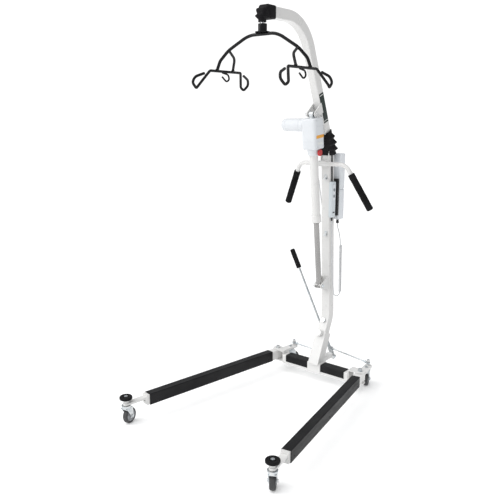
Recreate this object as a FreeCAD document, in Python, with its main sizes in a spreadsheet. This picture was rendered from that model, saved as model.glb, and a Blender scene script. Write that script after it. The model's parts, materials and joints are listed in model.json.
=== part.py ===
"""Powered patient lift hoist: splayed rolling base, bent mast, curved boom, electric actuator and cradle.

Millimetres.  +Z is up, the floor is z = 0, the legs point along -Y and the operator stands on the +Y side.
The origin is on the floor, midway along the hoist's length.  All working positions below are measured from
the leg pivot line (y = 0 there), and origin_setback moves them to the origin.
"left" is the +X side and "right" is the -X side, as seen by the operator behind the hoist.
"""
import FreeCAD, Part
import math
import os
import re
import Sketcher
from types import SimpleNamespace
from FreeCAD import Placement, Rotation, Vector

SIZES = {
    # where the origin lies
    "origin_setback": 412.4,
    # base: cross tube, leg pivots and their clevises
    "pivot_half_gauge": 261.0,
    "leg_splay": 9.57,
    "cross_side": 50.0,
    "cross_wall": 3.0,
    "cross_bottom": 56.0,
    "cross_ahead": 5.0,
    "clevis_reach": 56.0,
    "clevis_half_depth": 27.0,
    "clevis_plate": 5.0,
    "clevis_gap": 1.5,
    "pivot_bolt_dia": 12.0,
    "saddle_width": 80.0,
    "saddle_plate": 4.0,
    "pad_thickness": 3.0,
    "pad_lip": 38.0,
    "pad_length": 141.0,
    # legs
    "leg_width": 38.0,
    "leg_height": 50.0,
    "leg_wall": 2.5,
    "leg_bottom": 68.0,
    "leg_front": 878.0,
    "leg_back": 28.0,
    "arm_thickness": 10.0,
    "arm_bottom": 97.0,
    "nose_width": 30.0,
    "rear_arm_width": 40.0,
    "kingpin_front": 980.0,
    "kingpin_rear": 100.0,
    "stud_rear": 130.0,
    "cover_thickness": 2.5,
    "cover_start": 62.0,
    "cover_end_gap": 14.0,
    "bumper_dia": 60.0,
    "bumper_thickness": 14.0,
    "bumper_bottom": 126.0,
    # casters
    "wheel_dia": 75.0,
    "wheel_width": 25.0,
    "wheel_trail": 20.0,
    "fork_gap": 29.0,
    "fork_plate": 3.0,
    "kingpin_dia": 10.0,
    "axle_dia": 8.0,
    # leg spreading lever
    "crank_height": 112.0,
    "crank_behind": 150.0,
    "crank_throw": 24.0,
    "lever_lean": 26.7,
    "lever_length": 622.0,
    "lever_dia": 12.0,
    "lever_grip_length": 114.0,
    "lever_grip_dia": 28.0,
    "stud_dia": 8.0,
    "tie_rod_dia": 8.0,
    # mast
    "mast_width": 50.0,
    "mast_depth": 45.0,
    "mast_wall": 2.5,
    "mast_bend_radius": 120.0,
    "sleeve_wall": 5.0,
    "sleeve_top": 262.0,
    "mast_top": 1215.0,
    "head_plate": 4.0,
    "boom_pivot_height": 1260.0,
    "boom_pivot_behind": 47.0,
    "boom_pin_dia": 12.0,
    # boom
    "boom_width": 40.0,
    "boom_depth": 48.0,
    "boom_wall": 3.0,
    "boom_bend_radius": 200.0,
    "boom_top": 1838.0,
    "boom_corner": 189.0,
    "boom_end": 446.0,
    "hanger_ahead": 493.0,
    "hanger_height": 1822.0,
    # actuator
    "actuator_top_ahead": 100.0,
    "actuator_top_height": 1414.0,
    "actuator_foot_height": 535.0,
    "actuator_pin_dia": 10.0,
    "foot_half_width": 22.0,
    "housing_side": 84.0,
    "housing_length": 150.0,
    "motor_dia": 64.0,
    "outer_tube_dia": 43.0,
    "rod_dia": 28.0,
    "actuator_tube_length": 520.0,
    # cradle
    "cradle_bar_height": 1744.0,
    "arch_rod_dia": 14.0,
    "cross_rod_dia": 12.0,
    "small_hook_dia": 8.0,
    "cross_rod_out": 208.0,
    "cross_rod_drop": 145.0,
    "cross_rod_half": 104.0,
    # push handle
    "handle_dia": 22.0,
    "handle_height": 1171.0,
    "handle_half_width": 135.0,
    "grip_dia": 35.0,
    "grip_length": 203.0,
    # control box, battery and handset
    "box_width": 100.0,
    "box_depth": 52.0,
    "box_bottom": 876.0,
    "control_height": 158.0,
    "battery_height": 184.0,
    "handset_thickness": 21.0,
    "handset_width": 40.0,
    "handset_length": 184.0,
    "handset_bottom": 895.0,
    # cords
    "cord_dia": 5.0,
    "coil_dia": 16.0,
    # clearances
    "running_fit": 0.05,
    "gap": 0.4,
}

doc = FreeCAD.newDocument("PatientLift")
sheet = doc.addObject("Spreadsheet::Sheet", "Sizes")
for row, (alias, value) in enumerate(SIZES.items(), start=1):
    sheet.set(f"A{row}", alias.replace("_", " "))
    sheet.set(f"B{row}", str(value))
    sheet.setAlias(f"B{row}", alias)
doc.recompute()
d = SimpleNamespace(**{alias: float(sheet.get(alias)) for alias in SIZES})

NODES = {}
X, Y, Z = Vector(1, 0, 0), Vector(0, 1, 0), Vector(0, 0, 1)


# ---------------------------------------------------------------- helpers

def formula(text):
    """An expression on the sheet: every size's name gets the sheet's name in front."""
    return re.sub(r"[a-z][a-z_]*", lambda word: "Sizes." + word.group(0), text)


def bind(item, **rules):
    """Bind an object's properties to sheet formulas."""
    for prop, rule in rules.items():
        item.setExpression(prop, formula(rule))
    return item


def spot(x, y, z):
    """A point of the hoist, measured from the leg pivot line, in the row's frame."""
    return Vector(x, y + d.origin_setback, z)


def frame_at(x, y, z, turn=Rotation()):
    return Placement(spot(x, y, z), turn)


def along(axis):
    return Rotation(Z, Vector(axis))


def box(length, depth, height, x, y, z):
    """A block centred on x and y whose underside is at z; the three sizes are sheet formulas or numbers."""
    item = doc.addObject("Part::Box", "Block")
    for prop, rule in (("Length", length), ("Width", depth), ("Height", height)):
        if isinstance(rule, str):
            bind(item, **{prop: rule})
        else:
            setattr(item, prop, rule)
    doc.recompute()
    size = (item.Length.Value, item.Width.Value)
    item.Placement = Placement(Vector(x - size[0] / 2, y - size[1] / 2, z), Rotation())
    return item


def rod(diameter, length, start, axis=Z):
    """A cylinder from start along axis; diameter is a sheet formula or a number."""
    item = doc.addObject("Part::Cylinder", "Rod")
    if isinstance(diameter, str):
        bind(item, Radius=f"({diameter}) / 2")
    else:
        item.Radius = diameter / 2
    item.Height = length
    item.Placement = Placement(Vector(start), along(axis))
    return item


def fuse(*items):
    whole = doc.addObject("Part::MultiFuse", "Joined")
    whole.Shapes = list(items)
    whole.Refine = True
    return whole


def cut(base, *tools):
    result = doc.addObject("Part::Cut", "Cut")
    result.Base = base
    result.Tool = tools[0] if len(tools) == 1 else fuse(*tools)
    return result


def group(*items):
    """Separate solids kept in one node."""
    whole = doc.addObject("Part::Compound", "Group")
    whole.Links = list(items)
    return whole


def shaped(shape):
    item = doc.addObject("Part::Feature", "Shaped")
    item.Shape = shape
    return item


def node(label, item, frame=None):
    """Name a finished sub-part and put it in its place; frame moves it from where it was drawn."""
    item.Label = label
    frame = frame or Placement(Vector(0, d.origin_setback, 0), Rotation())
    item.Placement = frame.multiply(item.Placement)
    NODES[label] = item
    return item


def bent_line(points, radii, closed=False):
    """Straight runs through the points joined by tangent arcs; radii is one number or one for each corner."""
    points = [Vector(*p) for p in points]
    count = len(points)
    corners = range(count) if closed else range(1, count - 1)
    if not isinstance(radii, (list, tuple)):
        radii = [radii] * count
    entry, leave, arcs = {}, {}, {}
    for i in corners:
        before = (points[i] - points[i - 1]).normalize()
        after = (points[(i + 1) % count] - points[i]).normalize()
        turn = before.getAngle(after)
        radius = radii[i]
        if radius <= 0 or turn < 1e-6:
            continue
        reach = radius * math.tan(turn / 2)
        entry[i] = points[i] - before * reach
        leave[i] = points[i] + after * reach
        inward = (after - before).normalize()
        middle = points[i] + inward * (radius / math.cos(turn / 2) - radius)
        arcs[i] = Part.Arc(entry[i], middle, leave[i])
    curves = []
    for i in range(count if closed else count - 1):
        j = (i + 1) % count
        start, end = leave.get(i, points[i]), entry.get(j, points[j])
        if start.distanceToPoint(end) > 1e-6:
            curves.append(Part.LineSegment(start, end))
        if j in arcs:
            curves.append(arcs[j])
    return curves


def bent_wire(points, radii):
    return Part.Wire([curve.toShape() for curve in bent_line(points, radii)])


def bent_rod(points, diameter, radii):
    """A round rod or tube of the given diameter along a bent line."""
    path = bent_wire(points, radii)
    start = path.Edges[0]
    direction = start.tangentAt(start.FirstParameter)
    ring = Part.Wire(Part.Circle(Vector(*points[0]), direction, diameter / 2).toShape())
    return path.makePipeShell([ring], True, False)


def plate_yz(outline, x, thickness):
    """A flat plate whose (y, z) outline lies at x and which is thick towards +X."""
    points = [Vector(x, y, z) for y, z in outline]
    return shaped(Part.Face(Part.makePolygon(points + points[:1])).extrude(X * thickness))


def body_sketch(body, role, curves):
    sketch = body.newObject("Sketcher::SketchObject", "Outline")
    plane = next(o for o in body.Origin.OriginFeatures if o.Role == role)
    sketch.AttachmentSupport = [(plane, "")]
    sketch.MapMode = "FlatFace"
    for curve in curves:
        sketch.addGeometry(curve, False)
    return sketch


def flat(points, radii=0.0):
    """A closed outline in a sketch's own plane."""
    return bent_line([(u, v, 0) for u, v in points], radii, closed=True)


def padded_body(role, outline, length, pockets=(), soften=0.0):
    """A body padded both ways from a plane; each pocket is an outline and its own length.

    soften rounds the pad's long outer edges, before the pockets are cut.
    """
    body = doc.addObject("PartDesign::Body", "Body")
    pad = body.newObject("PartDesign::Pad", "Pad")
    pad.Profile = body_sketch(body, role, outline)
    pad.SideType = "Symmetric"
    bind(pad, Length=length)
    doc.recompute()
    if soften:
        faces = [body.Shape.BoundBox.XMin, body.Shape.BoundBox.XMax]
        longest = min(body.Shape.BoundBox.YLength, body.Shape.BoundBox.ZLength) / 8
        names = []
        for number, edge in enumerate(body.Shape.Edges, start=1):
            flush = any(all(abs(v.X - face) < 1e-6 for v in edge.Vertexes) for face in faces)
            if flush and edge.Length > longest and edge.Length > 51:
                names.append(f"Edge{number}")
        fillet = body.newObject("PartDesign::Fillet", "Softened")
        fillet.Base = (pad, names)
        fillet.Radius = soften
        doc.recompute()
    for hole, hole_length in pockets:
        before = body.Shape.Volume
        pocket = body.newObject("PartDesign::Pocket", "Pocket")
        pocket.Profile = body_sketch(body, role, hole)
        pocket.SideType = "Symmetric"
        bind(pocket, Length=hole_length)
        doc.recompute()
        if body.Shape.Volume > before - 1.0:
            raise RuntimeError("a pocket removed nothing")
    return body


def turned_body(profile, radii=0.0):
    """A body revolved about its own Z axis from a (radius, height) outline."""
    body = doc.addObject("PartDesign::Body", "Turned")
    turn = body.newObject("PartDesign::Revolution", "Turn")
    sketch = body_sketch(body, "XZ_Plane", flat(profile, radii))
    turn.Profile = sketch
    turn.ReferenceAxis = (sketch, ["V_Axis"])
    turn.Angle = 360.0
    doc.recompute()
    return body


# ---------------------------------------------------------------- base

cross_front = -d.cross_ahead - d.cross_side / 2
cross_back = cross_front + d.cross_side
cross_top = d.cross_bottom + d.cross_side
cross_half = d.pivot_half_gauge - d.clevis_reach
leg_top = d.leg_bottom + d.leg_height
saddle_top = cross_top + d.saddle_plate


def make_cross_tube():
    half, inner = d.cross_side / 2, d.cross_side / 2 - d.cross_wall
    centre = d.cross_bottom + half
    outer = flat([(-half, -half), (half, -half), (half, half), (-half, half)], 5.0)
    hollow = flat([(-inner, -inner), (inner, -inner), (inner, inner), (-inner, inner)], 2.5)
    length = "2 * (pivot_half_gauge - clevis_reach)"
    tube = padded_body("YZ_Plane", outer, length, [(hollow, length)])
    tube.Placement = Placement(Vector(0, -d.cross_ahead, centre), Rotation())
    node("cross_tube", tube)


def make_clevis(name, side):
    """End wall and two rounded plates that hold a leg's pivot bolt."""
    low = d.leg_bottom - d.clevis_gap - d.clevis_plate
    high = leg_top + d.clevis_gap
    wall = box("clevis_plate", 2 * d.clevis_half_depth, high + d.clevis_plate - low,
               side * (cross_half + d.clevis_plate / 2), 0, low)
    parts = [wall]
    for level in (low, high):
        reach = d.clevis_reach - d.clevis_plate / 2
        parts.append(box(reach, 2 * d.clevis_half_depth, "clevis_plate",
                         side * (d.pivot_half_gauge - reach / 2), 0, level))
        parts.append(rod("2 * clevis_half_depth", d.clevis_plate, Vector(side * d.pivot_half_gauge, 0, level)))
    bore = rod("pivot_bolt_dia", 200, Vector(side * d.pivot_half_gauge, 0, 0))
    node(name, cut(fuse(*parts), bore))


def make_saddle():
    """Bracket over the middle of the cross tube with the stay that carries the lever's crank."""
    front = cross_front - d.saddle_plate
    depth = d.cross_side + 2 * d.saddle_plate
    wrap = box("saddle_width", depth, "cross_side + saddle_plate", 0, front + depth / 2, d.cross_bottom)
    tube = box("saddle_width + 2", d.cross_side, d.cross_side, 0, -d.cross_ahead, d.cross_bottom)
    overhang = box("mast_width + 2 * sleeve_wall", 14, "saddle_plate", 0, front - 4, cross_top)
    back = cross_back + d.saddle_plate
    end = d.crank_behind - 14
    stay = box(28, end - back + 2, 24, 0, (back + end) / 2 - 1, d.crank_height - 18)
    bore = rod("pivot_bolt_dia - 2", 30, Vector(0, end - 26, d.crank_height), Y)
    rib = box(8, 60, 30, 0, back + 28, d.crank_height - 44)
    node("mast_saddle", cut(fuse(wrap, overhang, stay, rib), tube, bore))


def make_cross_pad(name, side):
    """Covering over the front and top of one half of the cross tube."""
    front, top = cross_front - d.pad_thickness, cross_top + d.pad_thickness
    outline = [(front, top - d.pad_lip), (cross_front, top - d.pad_lip), (cross_front, cross_top),
               (cross_back, cross_top), (cross_back, top), (front, top)]
    pad = padded_body("YZ_Plane", flat(outline, [0.8, 0.8, 0, 0.8, 0.8, 6.0]), "pad_length")
    centre = side * (d.saddle_width / 2 + 2 + d.pad_length / 2)
    pad.Placement = Placement(Vector(centre, 0, 0), Rotation())
    node(name, pad)


def make_frame_bolts():
    """Leg pivot bolts, the crank's bolt, the boom's and the actuator's pins and the mast's screw cap."""
    bolts = []
    low = d.leg_bottom - d.clevis_gap - d.clevis_plate
    high = leg_top + d.clevis_gap + d.clevis_plate
    for side in (-1, 1):
        x = side * d.pivot_half_gauge
        shank = rod("pivot_bolt_dia", high - low + 14, Vector(x, 0, low - 4))
        bolts.append(fuse(shank, rod(20, 6, Vector(x, 0, low - 6)), rod(24, 2, Vector(x, 0, high)),
                          rod(20, 8, Vector(x, 0, high + 2))))
    behind = d.crank_behind
    shank = rod("pivot_bolt_dia - 2", 34, Vector(0, behind - 30, d.crank_height), Y)
    bolts.append(fuse(shank, rod(18, 5, Vector(0, behind + 3.5, d.crank_height), Y)))
    head = d.boom_width / 2 + 1 + d.head_plate
    pivot = Vector(-head - 6, d.boom_pivot_behind, d.boom_pivot_height)
    bolts.append(fuse(rod("boom_pin_dia", 2 * head + 12, pivot, X), rod(20, 6, pivot, X),
                      rod(20, 6, pivot + X * (2 * head + 6), X)))
    foot = Vector(-d.foot_half_width - 8, 0, d.actuator_foot_height)
    bolts.append(fuse(rod("actuator_pin_dia", 2 * d.foot_half_width + 14, foot, X), rod(18, 8, foot, X),
                      rod(16, 6, foot + X * (2 * d.foot_half_width + 8), X)))
    bolts.append(mast_stud(317.0, d.mast_depth / 2, 10, 22, 8))
    node("frame_bolts", group(*bolts))


# ---------------------------------------------------------------- legs

def leg_frame(side):
    return frame_at(side * d.pivot_half_gauge, 0, 0, Rotation(Z, side * d.leg_splay))


def make_leg(name, side):
    """Rectangular tube with the nose that carries the front caster and the arm that carries the rear one."""
    length = d.leg_front + d.leg_back
    middle = (d.leg_back - d.leg_front) / 2
    tube = box("leg_width", "leg_front + leg_back", "leg_height", 0, middle, d.leg_bottom)
    inside = box("leg_width - 2 * leg_wall", length - 8, "leg_height - 2 * leg_wall", 0, middle,
                 d.leg_bottom + d.leg_wall)
    hole = rod(9, 20, Vector(-6, -d.leg_front - 5, d.leg_bottom + 14), Y)
    shell = cut(tube, inside, hole)
    bush = rod(22, d.leg_height + 1, Vector(0, 0, d.leg_bottom - 0.5))
    nose_start = d.leg_front - 4
    nose = box("nose_width", d.kingpin_front - nose_start, "arm_thickness", 0,
               -(d.kingpin_front + nose_start) / 2, d.arm_bottom)
    tip = rod("nose_width", d.arm_thickness, Vector(0, -d.kingpin_front, d.arm_bottom))
    boss = rod(24, d.bumper_bottom - d.arm_bottom, Vector(0, -d.kingpin_front, d.arm_bottom))
    arm_start = d.leg_back - 4
    arm = box("rear_arm_width", d.stud_rear - arm_start, "arm_thickness", 0, (d.stud_rear + arm_start) / 2,
              d.arm_bottom)
    arm_tip = rod("rear_arm_width", d.arm_thickness, Vector(0, d.stud_rear, d.arm_bottom))
    stud = rod("stud_dia", 36, Vector(0, d.stud_rear, d.arm_bottom + 1))
    collar = rod(16, 8, Vector(0, d.stud_rear, d.arm_bottom + d.arm_thickness - 1))
    cap = rod(16, 6, Vector(0, d.stud_rear, d.arm_bottom + 33.5))
    leg = fuse(shell, bush, nose, tip, boss, arm, arm_tip, stud, collar, cap)
    holes = [rod("pivot_bolt_dia + 2 * running_fit", 200, Vector(0, 0, 0))]
    for y in (-d.kingpin_front, d.kingpin_rear):
        holes.append(rod("kingpin_dia + 2 * running_fit", 200, Vector(0, y, 0)))
    node(name, cut(leg, *holes), leg_frame(side))


def make_leg_cover(name, side):
    """Channel cover over the top and both sides of a leg tube."""
    inner, outer = d.leg_width / 2 + 0.3, d.leg_width / 2 + 0.3 + d.cover_thickness
    low, top = d.leg_bottom - 2, leg_top + 0.3
    outline = [(-outer, low), (-inner, low), (-inner, top), (inner, top), (inner, low), (outer, low),
               (outer, top + d.cover_thickness), (-outer, top + d.cover_thickness)]
    cover = padded_body("XZ_Plane", flat(outline, [0.6, 0.6, 0, 0, 0.6, 0.6, 4.0, 4.0]),
                        "leg_front - cover_end_gap - cover_start")
    middle = -(d.leg_front - d.cover_end_gap + d.cover_start) / 2
    cover.Placement = Placement(Vector(0, middle, 0), Rotation())
    node(name, cover, leg_frame(side))


def make_bumper(name, side):
    """Rubber disc on top of the front caster's kingpin, with a recess for the nut."""
    bore, outer = d.kingpin_dia / 2 + d.running_fit, d.bumper_dia / 2
    thick = d.bumper_thickness
    profile = [(bore, 0), (outer, 0), (outer, thick), (13, thick), (13, thick - 5), (bore, thick - 5)]
    disc = turned_body(profile, [0, 4.0, 4.5, 1.0, 0, 0])
    disc.Placement = Placement(Vector(0, -d.kingpin_front, d.bumper_bottom), Rotation())
    node(name, disc, leg_frame(side))


# ---------------------------------------------------------------- casters

CASTERS = {
    "front_left": (1, "kingpin_front", -1, 21.5),
    "front_right": (-1, "kingpin_front", -1, 21.5),
    "rear_left": (1, "kingpin_rear", 1, 10.5),
    "rear_right": (-1, "kingpin_rear", 1, -5.5),
}


def caster_frame(corner):
    side, kingpin, way, turn = CASTERS[corner]
    offset = Placement(Vector(0, way * getattr(d, kingpin), 0), Rotation(Z, turn))
    return leg_frame(side).multiply(offset)


def make_fork(corner):
    """Swivel races, crown, two cheeks, axle and kingpin of one caster."""
    radius, half_gap = d.wheel_dia / 2, d.fork_gap / 2
    outer = half_gap + d.fork_plate
    crown_low = d.wheel_dia + 4
    crown = box(2 * outer, 44, 4, 0, 4, crown_low)
    races = [rod(38, 6, Vector(0, 0, crown_low + 4)), rod(44, 7, Vector(0, 0, crown_low + 9.5))]
    neck = rod(24, 3, Vector(0, 0, crown_low + 8))
    cheeks = []
    for side in (-1, 1):
        outline = [(-18, crown_low + 4), (26, crown_low + 4), (d.wheel_trail + 10, radius - 9),
                   (d.wheel_trail - 10, radius - 9), (d.wheel_trail - 12, radius + 8)]
        cheeks.append(plate_yz(outline, half_gap if side > 0 else -outer, d.fork_plate))
    axle = rod("axle_dia", 2 * outer + 6, Vector(-outer - 3, d.wheel_trail, radius), X)
    heads = [rod(14, 4.5, Vector(-outer - 4.5, d.wheel_trail, radius), X),
             rod(14, 4.5, Vector(outer, d.wheel_trail, radius), X)]
    front = corner.startswith("front")
    seat = d.bumper_bottom + d.bumper_thickness - 5 if front else d.arm_bottom + d.arm_thickness
    top = seat + 6.5
    kingpin = rod("kingpin_dia", top - crown_low, Vector(0, 0, crown_low))
    nut = rod(17, 5.5, Vector(0, 0, seat + d.gap))
    node("caster_fork_" + corner, fuse(crown, *races, neck, *cheeks, axle, *heads, kingpin, nut),
         caster_frame(corner))


def make_wheel(corner):
    bore, radius, half = d.axle_dia / 2 + d.running_fit, d.wheel_dia / 2, d.wheel_width / 2
    hub = half + 1.2
    profile = [(bore, -hub), (8, -hub), (8, -half + 4), (radius - 12, -half + 4), (radius - 9, -half),
               (radius - 4, -half), (radius, -half + 5), (radius, half - 5), (radius - 4, half),
               (radius - 9, half), (radius - 12, half - 4), (8, half - 4), (8, hub), (bore, hub)]
    wheel = turned_body(profile, [0, 0, 1, 1, 1, 3, 4, 4, 3, 1, 1, 1, 0, 0])
    wheel.Placement = Placement(Vector(0, d.wheel_trail, radius), Rotation(Y, 90))
    node("caster_wheel_" + corner, wheel, caster_frame(corner))


# ---------------------------------------------------------------- leg spreading lever

lean = math.radians(d.lever_lean)
crank_shift = d.crank_throw * math.sin(lean)
crank_rise = d.crank_throw * math.cos(lean)
stud_reach = d.stud_rear * math.sin(math.radians(d.leg_splay))
stud_back = d.stud_rear * math.cos(math.radians(d.leg_splay))
ring_level = d.arm_bottom + 25
ring_behind = d.crank_behind + 12


def crank_frame():
    return frame_at(0, d.crank_behind, d.crank_height, Rotation(Y, -d.lever_lean))


def make_crank():
    """Plate that turns on the stay's bolt, with the lever's socket and a stud for each tie rod."""
    plate = box(24, 6, 2 * d.crank_throw, 0, 0, -d.crank_throw)
    parts = [plate]
    for end in (-1, 1):
        level = end * d.crank_throw
        parts.append(rod(24, 6, Vector(0, -3, level), Y))
        parts.append(rod("stud_dia", 21, Vector(0, 0, level), Y))
        parts.append(rod(14, 4, Vector(0, 17.5, level), Y))
    parts.append(rod(19, 46, Vector(0, 0, 33)))
    bore = rod("pivot_bolt_dia - 2 + 2 * running_fit", 60, Vector(0, -30, 0), Y)
    socket = rod("lever_dia", 60, Vector(0, 0, 37))
    node("shift_crank", cut(fuse(*parts), bore, socket), crank_frame())


def make_lever():
    length = d.lever_length - 37 - 6
    node("shift_lever", rod("lever_dia", length, Vector(0, 0, 37)), crank_frame())


def make_lever_grip():
    bore, outer, length = d.lever_dia / 2, d.lever_grip_dia / 2, d.lever_grip_length
    profile = [(bore, 0), (outer, 0), (outer, length), (0, length), (0, length - 6), (bore, length - 6)]
    grip = turned_body(profile, [0, 4, 7, 0, 0, 0])
    grip.Placement = Placement(Vector(0, 0, d.lever_length - length), Rotation())
    node("shift_grip", grip, crank_frame())


def make_tie_rod(name, side):
    """Rod from a crank stud to the stud on a leg's rear arm; the left leg's rod is on the upper stud."""
    near = Vector(-side * crank_shift, ring_behind, d.crank_height + side * crank_rise)
    far = Vector(side * (d.pivot_half_gauge - stud_reach), stud_back, ring_level)
    way = (far - near).normalize()
    eye = rod(18, 8, near - Y * 4, Y)
    eye_bore = rod("stud_dia + 2 * running_fit", 20, near - Y * 10, Y)
    ring = rod(22, 8, far - Z * 4)
    ring_bore = rod(14, 20, far - Z * 10)
    shank = rod("tie_rod_dia", far.distanceToPoint(near) - 12, near + way * 6, way)
    nuts = [rod(13, 8, near + way * 12, way), rod(13, 8, far - way * 22, way)]
    node(name, cut(fuse(eye, ring, shank, *nuts), eye_bore, ring_bore))


# ---------------------------------------------------------------- mast

MAST_SLOPE_LOW = 0.45
MAST_SLOPE_HIGH = -0.0494


def mast_line(z):
    """Centre of the leaning lower part of the mast at a height."""
    return -8 + MAST_SLOPE_LOW * (z - 120)


MAST_CORNER = (mast_line(350.4), 350.4)
low_lean = math.degrees(math.atan(MAST_SLOPE_LOW))


def mast_centre(z):
    """Centre of the upper, nearly upright part of the mast at a height."""
    return MAST_CORNER[0] + MAST_SLOPE_HIGH * (z - MAST_CORNER[1])


def mast_front(z):
    """Front face of the upper part of the mast at a height."""
    return mast_centre(z) - d.mast_depth / 2 * math.hypot(1, MAST_SLOPE_HIGH)


def band(points, half, radius):
    """Closed side outline of a bar of even depth along a line with one bend."""
    (ay, az), (by, bz), (cy, cz) = points
    first = Vector(by - ay, bz - az, 0).normalize()
    second = Vector(cy - by, cz - bz, 0).normalize()
    normal_first = Vector(-first.y, first.x, 0)
    normal_second = Vector(-second.y, second.x, 0)
    turn = first.getAngle(second)
    bisector = (normal_first + normal_second).normalize() * (half / math.cos(turn / 2))
    left = first.cross(second).z > 0
    start, corner, end = Vector(ay, az, 0), Vector(by, bz, 0), Vector(cy, cz, 0)
    inner = radius - half if left else radius + half
    outer = radius + half if left else radius - half
    outline = [start + normal_first * half, corner + bisector, end + normal_second * half,
               end - normal_second * half, corner - bisector, start - normal_first * half]
    return bent_line(outline, [0, inner, 0, 0, outer, 0], closed=True)


def bent_bar(points, width, depth, wall, radius, width_rule, wall_rule):
    """Rectangular tube bent once in the upright middle plane, open at both ends."""
    outer = band(points, depth / 2, radius)
    hollow = band(points, depth / 2 - wall, radius)
    return padded_body("YZ_Plane", outer, width_rule, [(hollow, f"{width_rule} - 2 * {wall_rule}")], 4.0)


def make_mast():
    start = saddle_top + 14
    points = [(mast_line(start), start), MAST_CORNER, (mast_centre(d.mast_top), d.mast_top)]
    tube = bent_bar(points, d.mast_width, d.mast_depth, d.mast_wall, d.mast_bend_radius,
                    "mast_width", "mast_wall")
    cheeks = []
    inner = d.boom_width / 2 + 1
    for side in (-1, 1):
        x = side * (inner + d.head_plate / 2)
        low = d.mast_top - 28
        cheeks.append(box("head_plate", d.mast_depth, d.boom_pivot_height - low, x, d.boom_pivot_behind, low))
        start = Vector(x - d.head_plate / 2, d.boom_pivot_behind, d.boom_pivot_height)
        cheeks.append(rod("mast_depth", d.head_plate, start, X))
    bore = rod("boom_pin_dia", 100, Vector(-50, d.boom_pivot_behind, d.boom_pivot_height), X)
    node("mast_tube", cut(fuse(tube, *cheeks), bore))


def make_sleeve():
    """Socket welded to the saddle that the mast stands in."""
    lean_angle = math.radians(low_lean)
    front = Vector(-math.cos(lean_angle), math.sin(lean_angle), 0)
    half = d.mast_depth / 2 + d.sleeve_wall
    level = half / math.cos(lean_angle)
    top = Vector(mast_line(d.sleeve_top), d.sleeve_top, 0)
    outline = [(mast_line(saddle_top) - level, saddle_top), (mast_line(saddle_top) + level, saddle_top)]
    for way in (-1, 1):
        edge = top + front * (way * half)
        outline.append((edge.x, edge.y))
    inside = d.mast_depth / 2
    bottom = Vector(mast_line(60), 60, 0)
    above = Vector(mast_line(320), 320, 0)
    hollow = []
    for end, way in ((bottom, 1), (bottom, -1), (above, -1), (above, 1)):
        edge = end + front * (way * inside)
        hollow.append((edge.x, edge.y))
    sleeve = padded_body("YZ_Plane", flat(outline), "mast_width + 2 * sleeve_wall",
                         [(flat(hollow), "mast_width")])
    node("mast_sleeve", sleeve)


def mast_stud(level, half, stem, knob, length):
    """A stem and round head standing square out of the front of the mast's leaning part."""
    lean_angle = math.radians(low_lean)
    out = Vector(0, -math.cos(lean_angle), math.sin(lean_angle))
    start = Vector(0, mast_line(level), level) + out * half
    return fuse(rod(stem, 8, start, out), rod(knob, length, start + out * 6, out))


def make_lock_knob():
    """Hand knob on the sleeve's front that locks the mast in its socket."""
    node("lock_knob", mast_stud(252.0, d.mast_depth / 2 + d.sleeve_wall + d.gap, 12, 34, 20))


def make_foot_bracket():
    """Two ears on the mast's front that hold the actuator's foot pin."""
    height = d.actuator_foot_height
    upper, lower = mast_front(height + 40), mast_front(height - 34)
    ears = []
    for side in (-1, 1):
        outline = [(lower, height - 34), (upper, height + 40), (-4, height + 15),
                   (-15, height + 4), (-15, height - 6), (-4, height - 15)]
        x = d.foot_half_width - 5 if side > 0 else -d.foot_half_width
        ears.append(plate_yz(outline, x, 5))
    outline = [(lower - 5, height - 34), (upper - 5, height + 40), (upper, height + 40), (lower, height - 34)]
    back = plate_yz(outline, -d.foot_half_width, 2 * d.foot_half_width)
    bore = rod("actuator_pin_dia", 80, Vector(-40, 0, height), X)
    node("foot_bracket", cut(fuse(back, *ears), bore))


# ---------------------------------------------------------------- push handle

GRIP_END = (249.0, 63.0, 950.0)
HANDLE_AHEAD = 5.0


def handle_arm(side):
    """The handle's corner, and the direction and length of the arm that drops from it."""
    corner = Vector(side * d.handle_half_width, HANDLE_AHEAD, d.handle_height)
    end = Vector(side * GRIP_END[0], GRIP_END[1], GRIP_END[2])
    return corner, (end - corner).normalize(), corner.distanceToPoint(end)


def make_handle():
    route = []
    for side in (-1, 1):
        corner, way, length = handle_arm(side)
        arm = [corner + way * (length - 8), corner]
        route += arm if side < 0 else arm[::-1]
    bar = shaped(bent_rod(route, d.handle_dia, 55.0))
    low, high = d.handle_height - 15, d.handle_height + 15
    outline = [(HANDLE_AHEAD, low), (HANDLE_AHEAD, high), (mast_front(high), high), (mast_front(low), low)]
    node("push_handle", fuse(bar, plate_yz(outline, -22, 44)))


def make_grip(name, side):
    bore, outer = d.handle_dia / 2, d.grip_dia / 2
    length = d.grip_length
    profile = [(bore, 0), (outer, 0), (outer, length), (0, length), (0, length - 8), (bore, length - 8)]
    grip = turned_body(profile, [0, 4, 9, 0, 0, 0])
    corner, way, arm = handle_arm(side)
    grip.Placement = Placement(corner + way * (arm - length), along(way))
    node(name, grip)


# ---------------------------------------------------------------- boom

BOOM_SLOPE = -0.405


def boom_line(z):
    """Centre of the boom's straight lower part at a height."""
    return d.boom_pivot_behind + BOOM_SLOPE * (z - d.boom_pivot_height)


def make_boom():
    start = d.boom_pivot_height - 18
    corner = (-d.boom_corner, d.boom_top)
    points = [(boom_line(start), start), corner, (-d.boom_end, d.boom_top)]
    tube = bent_bar(points, d.boom_width, d.boom_depth, d.boom_wall, d.boom_bend_radius,
                    "boom_width", "boom_wall")
    pivot = Vector(-d.boom_width / 2, d.boom_pivot_behind, d.boom_pivot_height)
    bush = rod("boom_pin_dia + 12", d.boom_width, pivot, X)
    bore = rod("boom_pin_dia + 2 * running_fit", 100, pivot - X * 20, X)
    node("boom_tube", cut(fuse(tube, bush), bore))


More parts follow.
